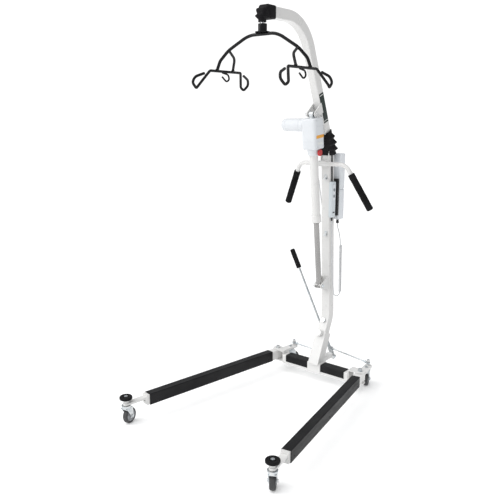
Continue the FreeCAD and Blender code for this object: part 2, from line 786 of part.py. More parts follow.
def make_boom_bracket():
    """Two side plates on the boom's front with a pin stub each, level with the actuator's eye."""
    low, high = d.actuator_top_height + 8, d.actuator_top_height + 54
    half = d.boom_depth / 2 * math.hypot(1, BOOM_SLOPE)
    eye = Vector(0, -d.actuator_top_ahead, d.actuator_top_height)
    side_face = d.boom_width / 2
    outline = [(boom_line(low) - half + 8, low), (boom_line(high) - half + 8, high)]
    for degrees in (130, 160, 195, 230, 265, 290):
        turn = math.radians(degrees)
        outline.append((eye.y + 14 * math.cos(turn), eye.z + 14 * math.sin(turn)))
    plates = []
    for side in (-1, 1):
        plate = plate_yz(outline, side_face if side > 0 else -side_face - 4, 4)
        head = rod(16, 5, Vector(side * (side_face + 4), eye.y, eye.z), X * side)
        stub = rod("actuator_pin_dia", 14, Vector(side * (side_face - 6), eye.y, eye.z), X * side)
        plates.append(fuse(plate, head, stub))
    node("boom_bracket", group(*plates))


def make_boom_end():
    """Fork in the boom's open end that holds the hanger's pin."""
    inner_width = d.boom_width - 2 * d.boom_wall
    inner_depth = d.boom_depth - 2 * d.boom_wall
    root = d.boom_end + 16
    stub = box(inner_width, 46, inner_depth, 0, 23 - root, d.boom_top - inner_depth / 2)
    cheeks = []
    for side in (-1, 1):
        reach = d.hanger_ahead - root
        x = side * (inner_width / 2 - 2.5)
        cheeks.append(box(5, reach, 26, x, -root - reach / 2, d.hanger_height - 13))
        cheeks.append(rod(26, 5, Vector(x - 2.5, -d.hanger_ahead, d.hanger_height), X))
    pin = rod(10, inner_width, Vector(-inner_width / 2, -d.hanger_ahead, d.hanger_height), X)
    node("boom_end", fuse(stub, *cheeks, pin))


def make_end_boot():
    """Rubber boot around the fork at the boom's end, open below and behind."""
    skin, low = 3.0, 1790.0
    length = 116.0
    centre = -d.boom_end + 8 - length / 2
    top = d.boom_top + d.boom_depth / 2 + 3 + skin
    outer = box(d.boom_width + 14, length, top - low, 0, centre, low)
    inner = box(d.boom_width + 8, length, top - low, 0, centre + skin, low - skin)
    node("end_boot", cut(outer, inner))


def make_mast_boot():
    """Rubber gaiter around the boom's pivot, open above and below."""
    low, height, skin = d.boom_pivot_height - 52, 122, 4
    middle = d.boom_pivot_behind - 10
    outer = box(92, 122, height, 0, middle, low)
    inner = box(92 - 2 * skin, 122 - 2 * skin, height + 20, 0, middle, low - 10)
    node("mast_boot", cut(outer, inner))


# ---------------------------------------------------------------- actuator

actuator_rise = d.actuator_top_height - d.actuator_foot_height
actuator_length = math.hypot(actuator_rise, d.actuator_top_ahead)
actuator_tilt = math.degrees(math.atan2(d.actuator_top_ahead, actuator_rise))


def actuator_frame():
    """Foot pin's centre, with +Z up the actuator's axis."""
    return frame_at(0, 0, d.actuator_foot_height, Rotation(X, actuator_tilt))


def make_housing():
    """Gear housing with the eye that the boom's bracket holds and the flange that the outer tube stands in."""
    half, top = d.housing_side / 2, actuator_length - 18
    low = top - d.housing_length
    outline = flat([(-half, -half), (half, -half), (half, half), (-half, half)], 12.0)
    body = padded_body("XY_Plane", outline, "housing_length")
    body.Placement = Placement(Vector(0, 0, low + d.housing_length / 2), Rotation())
    lug = box(22, 26, 26, 0, 0, top - 4)
    eye = rod(26, 22, Vector(-11, 0, actuator_length), X)
    flange = rod(60, 34, Vector(0, 0, low - 30))
    bore = rod("actuator_pin_dia + 0.6", 60, Vector(-30, 0, actuator_length), X)
    seat = rod("outer_tube_dia", 100, Vector(0, 0, low - 60))
    node("gear_housing", cut(fuse(body, lug, eye, flange), bore, seat), actuator_frame())


def make_motor():
    """Motor standing out sideways from the gear housing, with a rounded end."""
    radius, length = d.motor_dia / 2, 128.0
    profile = [(0, 0), (radius, 0), (radius - 2, length), (0, length)]
    motor = turned_body(profile, [0, 0, 14, 0])
    start = -d.housing_side / 2 - d.gap
    motor.Placement = Placement(Vector(start, 0, actuator_length - 18 - 34), along(-X))
    node("motor", motor, actuator_frame())


def make_outer_tube():
    """Outer tube with the collar at its lower end."""
    top = actuator_length - 18 - d.housing_length + 28
    low = top - d.actuator_tube_length + 120
    inner = d.rod_dia / 2 + 1
    outer, collar = d.outer_tube_dia / 2, d.outer_tube_dia / 2 + 3
    profile = [(inner, low), (collar, low), (collar, low + 38), (outer, low + 38), (outer, top), (inner, top)]
    tube = turned_body(profile, [0, 2, 2, 0, 0, 0])
    node("outer_tube", tube, actuator_frame())


def make_rod():
    """Piston rod with its foot eye; it reaches far enough up the tube to stay guided at full lift."""
    eye = rod(28, 30, Vector(-15, 0, 0), X)
    shank = rod("rod_dia", 400, Vector(0, 0, 8))
    bore = rod("actuator_pin_dia + 2 * running_fit", 60, Vector(-30, 0, 0), X)
    node("piston_rod", cut(fuse(eye, shank), bore), actuator_frame())


def make_lowering_knob():
    """Red hand wheel for lowering with no power, on the flange under the gear housing."""
    level = actuator_length - 18 - d.housing_length - 17
    neck = rod(18, 4, Vector(30 + d.gap, 0, level), X)
    wheel = rod(32, 8, Vector(33, 0, level), X)
    node("lowering_knob", fuse(neck, wheel), actuator_frame())


# ---------------------------------------------------------------- cradle

def cradle_spot(x, y, drop):
    """A point of the cradle, from its bar's middle."""
    return (x, y - d.hanger_ahead, d.cradle_bar_height - drop)


def make_neck():
    """Chromed hanger: an eye on the boom's pin and the spigot that the cradle turns on."""
    eye = rod(24, 21, Vector(-10.5, -d.hanger_ahead, d.hanger_height), X)
    foot = d.cradle_bar_height + d.arch_rod_dia / 2 + 3
    shank = rod(16, d.hanger_height - 8 - foot, Vector(0, -d.hanger_ahead, foot))
    bore = rod("boom_pin_dia - 2 + 2 * running_fit", 60, Vector(-30, -d.hanger_ahead, d.hanger_height), X)
    node("hanger_neck", cut(fuse(eye, shank), bore))


def make_hub():
    """Sleeve that turns on the hanger's spigot, with the disc that the cradle's bar is welded under."""
    low = d.cradle_bar_height + d.arch_rod_dia / 2 - 1
    bore = 8 + d.running_fit
    profile = [(bore, 0), (32, 0), (32, 4), (19, 4), (19, 36), (bore, 36)]
    hub = turned_body(profile, [0, 1, 1, 0, 2, 0])
    hub.Placement = Placement(Vector(0, -d.hanger_ahead, low), Rotation())
    node("cradle_hub", hub)


def half_turn(shape):
    """The same shape half a turn round the hanger's upright axis."""
    turned = shape.copy()
    turned.rotate(Vector(0, -d.hanger_ahead, 0), Z, 180)
    return turned


def make_arch():
    """Main bar, from one crossbar over the hub to the other, with a brace near each end.

    The two halves are the same part turned round the hanger's axis.
    """
    out, drop = d.cross_rod_out, d.cross_rod_drop
    half = [(-76, 0, 0), (-160, -36, 60), (-196, -51, 103), (-out, -57, drop - 4)]
    route = [cradle_spot(*p) for p in reversed(half)] + [cradle_spot(-x, -y, z) for x, y, z in half]
    bar = bent_rod(route, d.arch_rod_dia, [0, 50, 140, 90, 90, 140, 50, 0])
    route = [cradle_spot(-158, -32, 62), cradle_spot(-180, 30, 90), cradle_spot(-out, 49, drop - 5)]
    brace = bent_rod(route, d.cross_rod_dia, 50.0)
    node("cradle_arch", fuse(shaped(bar), shaped(brace), shaped(half_turn(brace))))


HOOK = [(0, 0, 0), (33, 41, 64), (29, 58, 76), (25, 86, 52), (18, 76, 28), (6, 30, 12)]
HOOK_RADII = [10, 24, 12, 16, 28, 0]
SMALL_HOOK = [(-22, 6.5), (17, 13), (25, 34), (5, 45), (-24, 24)]


def make_crossbar(name, side):
    """Rod along Y whose ends are bent down and round into sling hooks, with a small hook at its middle."""
    out, half, drop = d.cross_rod_out, d.cross_rod_half, d.cross_rod_drop
    ends = []
    for way in (-1, 1):
        hook = [cradle_spot(side * (out + a), way * (half + b), drop + c) for a, b, c in HOOK]
        ends.append(hook)
    route = list(reversed(ends[0])) + ends[1]
    radii = list(reversed(HOOK_RADII)) + HOOK_RADII
    bar = shaped(bent_rod(route, d.cross_rod_dia, radii))
    small = [cradle_spot(side * out, y, drop + fall - 1) for y, fall in SMALL_HOOK]
    hook = shaped(bent_rod(small, d.small_hook_dia, [0, 16, 11.5, 15, 0]))
    node(name, fuse(bar, hook))


# ---------------------------------------------------------------- control box, battery, handset

RAIL_BACK = 99.5


def make_rail():
    """Black channel that holds the control box and the battery, wrapped round the back of the mast."""
    height, low = 190, d.box_bottom + 24
    back = mast_centre(low) + d.mast_depth / 2 * math.hypot(1, MAST_SLOPE_HIGH) + d.gap
    block = box(90, 15, height, 0, RAIL_BACK - 7.5, low)
    mast_room = box("mast_width + 2 * gap", back, height + 2, 0, back / 2, low - 1)
    node("box_rail", cut(block, mast_room))


def box_outline(width, depth):
    half_width, half_depth = width / 2, depth / 2
    return flat([(-half_width, -half_depth), (half_width, -half_depth), (half_width, half_depth),
                 (-half_width, half_depth)], 10.0)


def make_control_box():
    body = padded_body("XY_Plane", box_outline(d.box_width, d.box_depth), "control_height")
    level = d.box_bottom + d.control_height / 2
    middle = RAIL_BACK + d.gap + d.box_depth / 2
    body.Placement = Placement(Vector(0, middle, level), Rotation())
    gland = rod(16, 22, Vector(34, middle - 14, d.box_bottom - 20))
    seat = rod(13, 14, stop_spot(-14), Y)
    node("control_box", cut(fuse(body, gland), seat))


def stop_spot(out):
    """A point on the stop button's axis, measured out of the control box's rear face."""
    return Vector(18, RAIL_BACK + d.gap + d.box_depth + out, d.box_bottom + 92)


def make_stop_button():
    """Mushroom stop button on the control box's rear face."""
    profile = [(0, -10), (6, -10), (6, 4), (14, 4), (14, 12), (0, 12)]
    button = turned_body(profile, [0, 0, 0, 1, 5, 0])
    button.Placement = Placement(stop_spot(0), along(Y))
    node("stop_button", button)


def make_battery():
    """Battery pack that lifts off the top of the control box, with a grab handle along its top."""
    body = padded_body("XY_Plane", box_outline(d.box_width, d.box_depth), "battery_height")
    low = d.box_bottom + d.control_height + d.gap
    middle = RAIL_BACK + d.gap + d.box_depth / 2
    body.Placement = Placement(Vector(0, middle, low + d.battery_height / 2), Rotation())
    slot = box(64, 24, 40, 0, middle + 18, low + d.battery_height - 62)
    node("battery_pack", cut(body, slot))


HANDSET_IN = d.mast_width / 2 + 1.0
HANDSET_MIDDLE = 48.5


def make_handset():
    half = d.handset_width / 2
    thick = d.handset_thickness / 2
    outline = flat([(-thick, -half), (thick, -half), (thick, half), (-thick, half)], 5.0)
    body = padded_body("XY_Plane", outline, "handset_length")
    x = HANDSET_IN + thick
    body.Placement = Placement(Vector(x, HANDSET_MIDDLE, d.handset_bottom + d.handset_length / 2), Rotation())
    face = HANDSET_IN + d.handset_thickness
    seats = [rod(14.6, 4, Vector(face - 3, HANDSET_MIDDLE, level), X) for level in BUTTON_LEVELS]
    gland = rod(12, 20, Vector(x, HANDSET_MIDDLE, d.handset_bottom - 19))
    node("handset", cut(fuse(body, gland), *seats))


BUTTON_LEVELS = (1005.0, 1037.0)


def make_button(name, level):
    face = HANDSET_IN + d.handset_thickness
    node(name, rod(14, 3.2, Vector(face - 1.2, HANDSET_MIDDLE, level), X))


def make_cable_clips():
    """Small hooks on the mast's front and side that hold the thin cables."""
    clips = []
    for level in (795.0, 1090.0):
        low, high = mast_front(level), mast_front(level + 24)
        outline = [(low, level), (high, level + 24), (high - 3, level + 24), (high - 3, level + 3),
                   (low - 12, level + 3), (low - 12, level + 10), (low - 15, level + 10), (low - 15, level)]
        clips.append(plate_yz(outline, -3, 14))
    node("cable_clips", group(*clips))


# ---------------------------------------------------------------- cords

HANDSET_CORD = [(36.5, 48.5, 876), (36.5, 48.5, 830), (37.5, 53, 776), (36, 58, 716), (37, 63, 656),
                (36, 69, 598), (38, 73.5, 552), (40, 77.5, 522), (41.8, 79.4, 500), (42.1, 80.6, 484),
                (44, 83.6, 472.5), (48.6, 91.4, 465.7), (54.4, 101.6, 465.7), (59.2, 110, 472.5), (61, 113, 484)]
COIL_FOOT = (61.0, 113.0, 484.0)
COIL_TOP = (57.0, 112.0, 744.0)
COIL_CORD = [(57, 112, 744), (54, 112, 772), (45, 112, 812), (35, 111.9, 838), (34, 111.9, 856)]
MOTOR_CABLE = [(-34, -66, 1246), (-34, -60, 1222), (-33, -34, 1186), (-32, 0, 1140), (-34, 28, 1086),
               (-36, 46, 1028), (-36, 61, 970), (-35, 74, 920), (-34, 82.5, 884), (-32.5, 95, 860),
               (-31, 108, 847), (-30, 121, 846), (-30, 128.5, 857), (-30, 129.5, 875)]


def cord_radii(points):
    """Arc radius at each point: 0.45 of the shorter run over the tangent of half the turn."""
    points = [Vector(*p) for p in points]
    radii = [0.0]
    for before, here, after in zip(points, points[1:], points[2:]):
        first, second = here - before, after - here
        turn = first.getAngle(second)
        radii.append(0.45 * min(first.Length, second.Length) / math.tan(turn / 2))
    return radii + [0.0]


def make_cord(name, route, diameter):
    radii = cord_radii(route)
    solid = bent_rod(route, diameter, radii)
    wire = bent_wire(route, radii)
    share = solid.Volume / (math.pi * diameter ** 2 / 4 * wire.Length)
    print(name, "length", round(wire.Length), "radii", [round(r) for r in radii[1:-1]],
          "volume share", round(share, 3))
    node(name, shaped(solid))


def make_coil():
    start, end = Vector(*COIL_FOOT), Vector(*COIL_TOP)
    coil = rod("coil_dia", start.distanceToPoint(end) - 1.2, start + (end - start).normalize() * 0.6, end - start)
    node("handset_coil", coil)


# ---------------------------------------------------------------- build

def build_base():
    make_cross_tube()
    make_saddle()
    for name, side in (("left", 1), ("right", -1)):
        make_clevis("clevis_" + name, side)
        make_cross_pad("cross_pad_" + name, side)
        make_leg("leg_" + name, side)
        make_leg_cover("leg_cover_" + name, side)
        make_bumper("bumper_" + name, side)
        make_tie_rod("tie_rod_" + name, side)
        make_grip("grip_" + name, side)
        make_crossbar("crossbar_" + name, side)
    for corner in CASTERS:
        make_fork(corner)
        make_wheel(corner)
    make_crank()
    make_lever()
    make_lever_grip()
    make_frame_bolts()


def build_mast():
    make_mast()
    make_sleeve()
    make_lock_knob()
    make_foot_bracket()
    make_handle()
    make_mast_boot()
    make_cable_clips()
    make_rail()
    make_control_box()
    make_stop_button()
    make_battery()
    make_handset()
    make_button("button_down", BUTTON_LEVELS[0])
    make_button("button_up", BUTTON_LEVELS[1])


def build_lift():
    make_boom()
    make_boom_bracket()
    make_boom_end()
    make_end_boot()
    make_housing()
    make_motor()
    make_outer_tube()
    make_rod()
    make_lowering_knob()
    make_neck()
    make_hub()
    make_arch()


def build_cords():
    make_cord("handset_cord", HANDSET_CORD, d.cord_dia)
    make_coil()
    make_cord("coil_cord", COIL_CORD, d.cord_dia)
    make_cord("motor_cable", MOTOR_CABLE, d.cord_dia)


def export():
    doc.recompute()
    for item in doc.Objects:
        if "Invalid" in item.State or "Error" in item.State:
            raise RuntimeError(f"{item.Label} failed: {item.State}")
    os.makedirs("parts", exist_ok=True)
    for label, item in NODES.items():
        shape = item.Shape
        if shape.isNull() or not shape.isValid():
            raise RuntimeError(f"{label} has no valid shape")
        if not shape.Solids:
            raise RuntimeError(f"{label} has no solid")
        shape.exportStep(f"parts/{label}.step")
    print(len(NODES), "nodes")


build_base()
build_mast()
build_lift()
build_cords()
export()
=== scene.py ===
import json
import math

import bpy
import numpy as np
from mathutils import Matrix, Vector


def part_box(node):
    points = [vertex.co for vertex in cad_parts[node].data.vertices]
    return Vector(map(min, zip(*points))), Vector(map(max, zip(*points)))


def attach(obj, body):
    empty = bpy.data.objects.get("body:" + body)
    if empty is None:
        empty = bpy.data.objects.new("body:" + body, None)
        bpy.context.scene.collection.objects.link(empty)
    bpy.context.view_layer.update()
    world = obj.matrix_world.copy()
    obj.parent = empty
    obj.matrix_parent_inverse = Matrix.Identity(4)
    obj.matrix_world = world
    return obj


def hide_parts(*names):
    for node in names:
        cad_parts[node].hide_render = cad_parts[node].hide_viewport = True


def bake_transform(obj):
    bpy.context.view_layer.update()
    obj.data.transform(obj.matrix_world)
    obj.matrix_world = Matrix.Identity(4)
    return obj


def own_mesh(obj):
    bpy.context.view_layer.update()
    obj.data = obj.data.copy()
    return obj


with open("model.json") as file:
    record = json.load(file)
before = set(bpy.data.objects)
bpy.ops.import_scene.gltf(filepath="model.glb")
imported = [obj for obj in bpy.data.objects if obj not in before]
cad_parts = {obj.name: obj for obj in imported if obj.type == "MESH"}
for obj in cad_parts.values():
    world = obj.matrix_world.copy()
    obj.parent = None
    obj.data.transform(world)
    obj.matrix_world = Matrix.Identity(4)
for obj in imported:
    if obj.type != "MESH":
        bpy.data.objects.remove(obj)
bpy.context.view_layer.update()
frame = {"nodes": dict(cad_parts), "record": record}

JOINTS = {joint["name"]: joint for joint in frame["record"]["behaviour"]["joints"]}
PIVOT_LINE = JOINTS["leg_left_swing"]["pos_m"][1]
MM = 0.001
X, Y, Z = np.eye(3)


# ------------------------------------------------------------ places and shapes

def at(x, y, z):
    """A point in millimetres from the leg pivot line, in the row's metres."""
    return np.array([x * MM, y * MM + PIVOT_LINE, z * MM])


def unit(v):
    v = np.asarray(v, float)
    return v / np.linalg.norm(v, axis=-1, keepdims=True)


def rounded(points, radii, steps=6, closed=True):
    """Polyline with circular corners: arc of radius r, tangent points r*tan(turn/2) from the corner."""
    points = np.asarray(points, float)
    count = len(points)
    radii = np.broadcast_to(radii, count)
    out = []
    for i in range(count):
        if radii[i] <= 0 or (not closed and i in (0, count - 1)):
            out.append(points[i:i + 1])
            continue
        a = unit(points[i] - points[i - 1])
        b = unit(points[(i + 1) % count] - points[i])
        turn = math.acos(np.clip(a @ b, -1, 1))
        reach = radii[i] * math.tan(turn / 2)
        inward = unit(b - a)
        centre = points[i] + inward * radii[i] / math.cos(turn / 2)
        first = points[i] - a * reach - centre
        side = a
        t = np.linspace(0, turn, steps)[:, None]
        out.append(centre + first * np.cos(t) + side * radii[i] * np.sin(t))
    return np.vstack(out)


def rect(width, depth, radius, steps=5):
    """Rounded rectangle as (n, 2) points about its middle."""
    a, b = width / 2, depth / 2
    return rounded([(-a, -b), (a, -b), (a, b), (-a, b)], min(radius, a * 0.99, b * 0.99), steps)


def skin(name, grid, crease=35.0, caps=True, ring=False):
    """Closed surface over an (m, n, 3) grid: column n meets column 0; row ends are fanned to their middle.

    With ring set, row m meets row 0 instead, as on a torus.
    """
    rows, cols = grid.shape[:2]
    verts = grid.reshape(-1, 3)
    last = rows if ring else rows - 1
    i, j = np.meshgrid(np.arange(last), np.arange(cols), indexing="ij")
    k, up = (j + 1) % cols, (i + 1) % rows
    quads = np.stack([i * cols + j, i * cols + k, up * cols + k, up * cols + j], -1).reshape(-1, 4)
    faces = quads.tolist()
    if caps and not ring:
        verts = np.vstack([verts, grid[0].mean(0), grid[-1].mean(0)])
        a = np.arange(cols)
        b = (a + 1) % cols
        low = np.stack([b, a, np.full(cols, rows * cols)], -1)
        high = np.stack([a + (rows - 1) * cols, b + (rows - 1) * cols, np.full(cols, rows * cols + 1)], -1)
        faces += low.tolist() + high.tolist()
    p, q, r, s = (verts[quads[:, c]] for c in range(4))
    middle = verts.mean(0)
    volume = np.einsum("ij,ij->i", p - middle, np.cross(q - middle, r - middle)).sum()
    volume += np.einsum("ij,ij->i", p - middle, np.cross(r - middle, s - middle)).sum()
    if volume < 0:
        faces = [face[::-1] for face in faces]
    mesh = bpy.data.meshes.new(name)
    mesh.from_pydata(verts.tolist(), [], faces)
    mesh.shade_smooth()
    mesh.set_sharp_from_angle(angle=math.radians(crease))
    piece = bpy.data.objects.new(name, mesh)
    bpy.context.collection.objects.link(piece)
    return piece


def base_vectors(axis, hint):
    """Three right-handed unit vectors: side, depth and the axis itself."""
    w = unit(axis)
    u = unit(np.asarray(hint, float) - w * np.dot(hint, w))
    return u, np.cross(w, u), w


def turned(name, profile, origin, axis, radii=0.0, hint=X, around=48, crease=30.0):
    """Surface of revolution: point = origin + axis*h + r*(u cos a + v sin a), for (r, h) in mm."""
    line = rounded(profile, radii, 6, closed=False)
    if np.allclose(line[0], line[-1]):
        line = line[:-1]
    u, v, w = base_vectors(axis, hint if abs(np.dot(unit(axis), hint)) < 0.9 else Z)
    a = np.linspace(0, 2 * math.pi, around, endpoint=False)
    spoke = np.cos(a)[:, None] * u + np.sin(a)[:, None] * v
    r, h = line[:, 0] * MM, line[:, 1] * MM
    grid = origin + h[:, None, None] * w + np.maximum(r, 2e-5)[:, None, None] * spoke
    return skin(name, grid, crease)


def turned_ring(name, profile, origin, axis, radii=0.0, hint=X, around=48, crease=30.0):
    """Surface of revolution of a closed (r, h) outline that doesn't touch the axis."""
    line = rounded(profile, radii, 6, closed=True)
    u, v, w = base_vectors(axis, hint if abs(np.dot(unit(axis), hint)) < 0.9 else Z)
    a = np.linspace(0, 2 * math.pi, around, endpoint=False)
    spoke = np.cos(a)[:, None] * u + np.sin(a)[:, None] * v
    grid = origin + (line[:, 1] * MM)[:, None, None] * w + (line[:, 0] * MM)[:, None, None] * spoke
    return skin(name, grid, crease, ring=True)


def shell(name, width, depth, length, corner, edge, origin, axis, hint, grooves=(), taper=0.0):
    """Moulded case: rounded-rectangle rings up an axis, inset r(1-cos t) over each end's edge radius.

    grooves are (height, half width, depth) seams; taper narrows the ring towards the far end.
    """
    t = np.linspace(0, math.pi / 2, 7)
    rows = [(h, i) for h, i in zip(edge * (1 - np.cos(t)), edge * (1 - np.sin(t)))]
    for height, half, deep in sorted(grooves):
        rows += [(height - half, 0), (height - half * 0.4, deep), (height + half * 0.4, deep),
                 (height + half, 0)]
    rows += [(length - h, i) for h, i in reversed(rows[:len(t)])]
    u, v, w = base_vectors(axis, hint)
    grid = []
    for h, i in rows:
        shrink = taper * h / length
        outline = rect(width - 2 * i - 2 * shrink, depth - 2 * i - 2 * shrink, max(corner - i, 1.0)) * MM
        grid.append(origin + h * MM * w + outline[:, :1] * u + outline[:, 1:] * v)
    return skin(name, np.array(grid), 40.0)


def smooth_line(points, per=8):
    """Catmull-Rom curve through the points, as a dense (n, 3) array."""
    p = np.asarray(points, float)
    p = np.vstack([2 * p[0] - p[1], p, 2 * p[-1] - p[-2]])
    t = np.linspace(0, 1, per, endpoint=False)[:, None]
    parts = []
    for a, b, c, e in zip(p, p[1:], p[2:], p[3:]):
        parts.append(0.5 * (2 * b + (c - a) * t + (2 * a - 5 * b + 4 * c - e) * t ** 2
                            + (3 * b - a - 3 * c + e) * t ** 3))
    return np.vstack(parts + [p[-2:-1]])


def tube(name, path, radius, around=12, hint=X, closed=False, crease=60.0):
    """Round tube along a path: ring = point + r*(n cos a + b sin a), n kept near the hint."""
    path = np.asarray(path, float)
    if closed:
        tangent = unit(np.roll(path, -1, 0) - np.roll(path, 1, 0))
    else:
        tangent = unit(np.gradient(path, axis=0))
    hint = np.broadcast_to(hint, path.shape)
    n = unit(hint - tangent * (hint * tangent).sum(1, keepdims=True))
    b = np.cross(tangent, n)
    a = np.linspace(0, 2 * math.pi, around, endpoint=False)
    radius = np.broadcast_to(radius, len(path))[:, None, None]
    grid = path[:, None] + radius * (np.cos(a)[:, None] * n[:, None] + np.sin(a)[:, None] * b[:, None])
    return skin(name, grid, crease, ring=closed)


def bead(name, path, radius, closed=False, seed=1):
    """Weld bead: a thin tube whose radius ripples with each drop of metal."""
    path = np.asarray(path, float)
    rng = np.random.default_rng(seed)
    ripple = 1 + 0.12 * np.sin(np.arange(len(path)) * 1.9) + 0.08 * rng.standard_normal(len(path))
    return tube(name, path, radius * ripple, 8, hint=unit([0.3, 0.2, 0.93]), closed=closed)


def circle_path(centre, axis, radius, count=48):
    u, v, _ = base_vectors(axis, X if abs(np.dot(unit(axis), X)) < 0.9 else Z)
    a = np.linspace(0, 2 * math.pi, count, endpoint=False)[:, None]
    return centre + radius * (np.cos(a) * u + np.sin(a) * v)


def cord_curve(name, points, diameter):
    """Cord as a second-degree NURBS line through its own control points, with a round section."""
    curve = bpy.data.curves.new(name, "CURVE")
    curve.dimensions = "3D"
    spline = curve.splines.new("NURBS")
    spline.points.add(len(points) - 1)
    spline.points.foreach_set("co", np.hstack([points, np.ones((len(points), 1))]).ravel())
    spline.order_u = 3
    spline.use_endpoint_u = True
    spline.resolution_u = 12
    curve.bevel_depth = diameter / 2
    curve.bevel_resolution = 3
    curve.use_fill_caps = True
    piece = bpy.data.objects.new(name, curve)
    bpy.context.collection.objects.link(piece)
    return piece


# ------------------------------------------------------------ materials

def links(material):
    tree = material.node_tree
    return tree.nodes, tree.links


def surface(name, colour, rough, metal=0.0, **sockets):
    """A Principled surface with its fixed values set on its own sockets."""
    material = bpy.data.materials.new(name)
    material.use_nodes = True
    nodes, _ = links(material)
    shader = nodes["Principled BSDF"]
    shader.inputs["Base Color"].default_value = (*colour, 1)
    shader.inputs["Roughness"].default_value = rough
    shader.inputs["Metallic"].default_value = metal
    for socket, value in sockets.items():
        shader.inputs[socket.replace("_", " ")].default_value = value
    material.diffuse_color = (*colour, 1)
    return material, shader


def pattern(material, kind, scale, stretch=(1, 1, 1), detail=3.0):
    """A noise or cell pattern over object coordinates, in features for each metre."""
    nodes, joins = links(material)
    place = nodes.new("ShaderNodeTexCoord")
    turn = nodes.new("ShaderNodeMapping")
    turn.inputs["Scale"].default_value = stretch
    joins.new(place.outputs["Object"], turn.inputs["Vector"])
    texture = nodes.new({"noise": "ShaderNodeTexNoise", "cells": "ShaderNodeTexVoronoi"}[kind])
    texture.inputs["Scale"].default_value = scale
    if kind == "noise":
        texture.inputs["Detail"].default_value = detail
    joins.new(turn.outputs["Vector"], texture.inputs["Vector"])
    return texture.outputs[0]


def spread(material, source, low, high, start=0.3, end=0.7):
    nodes, joins = links(material)
    ramp = nodes.new("ShaderNodeMapRange")
    for socket, value in zip(("From Min", "From Max", "To Min", "To Max"), (start, end, low, high)):
        ramp.inputs[socket].default_value = value
    joins.new(source, ramp.inputs["Value"])
    return ramp.outputs["Result"]


def tint(material, shader, source, dark, light, start=0.35, end=0.65):
    """Colour that wanders between two shades with a pattern."""
    nodes, joins = links(material)
    ramp = nodes.new("ShaderNodeValToRGB")
    ramp.color_ramp.elements[0].position = start
    ramp.color_ramp.elements[1].position = end
    ramp.color_ramp.elements[0].color = (*dark, 1)
    ramp.color_ramp.elements[1].color = (*light, 1)
    joins.new(source, ramp.inputs["Fac"])
    joins.new(ramp.outputs["Color"], shader.inputs["Base Color"])


def relief(material, shader, source, height, strength=0.5):
    nodes, joins = links(material)
    bump = nodes.new("ShaderNodeBump")
    bump.inputs["Distance"].default_value = height
    bump.inputs["Strength"].default_value = strength
    joins.new(source, bump.inputs["Height"])
    joins.new(bump.outputs["Normal"], shader.inputs["Normal"])


def made(name, dark, light, rough, grain, height, metal=0.0, stretch=(1, 1, 1), kind="noise",
         strength=0.4, patch=9.0, **sockets):
    """A finish whose colour and gloss wander over broad patches, with a fine grain in relief."""
    material, shader = surface(name, light, sum(rough) / 2, metal, **sockets)
    broad = pattern(material, "noise", patch, detail=5.0)
    tint(material, shader, broad, dark, light)
    _, joins = links(material)
    joins.new(spread(material, pattern(material, "noise", patch * 6, stretch), rough[0], rough[1]),
              shader.inputs["Roughness"])
    relief(material, shader, pattern(material, kind, grain, stretch), height, strength)
    return material


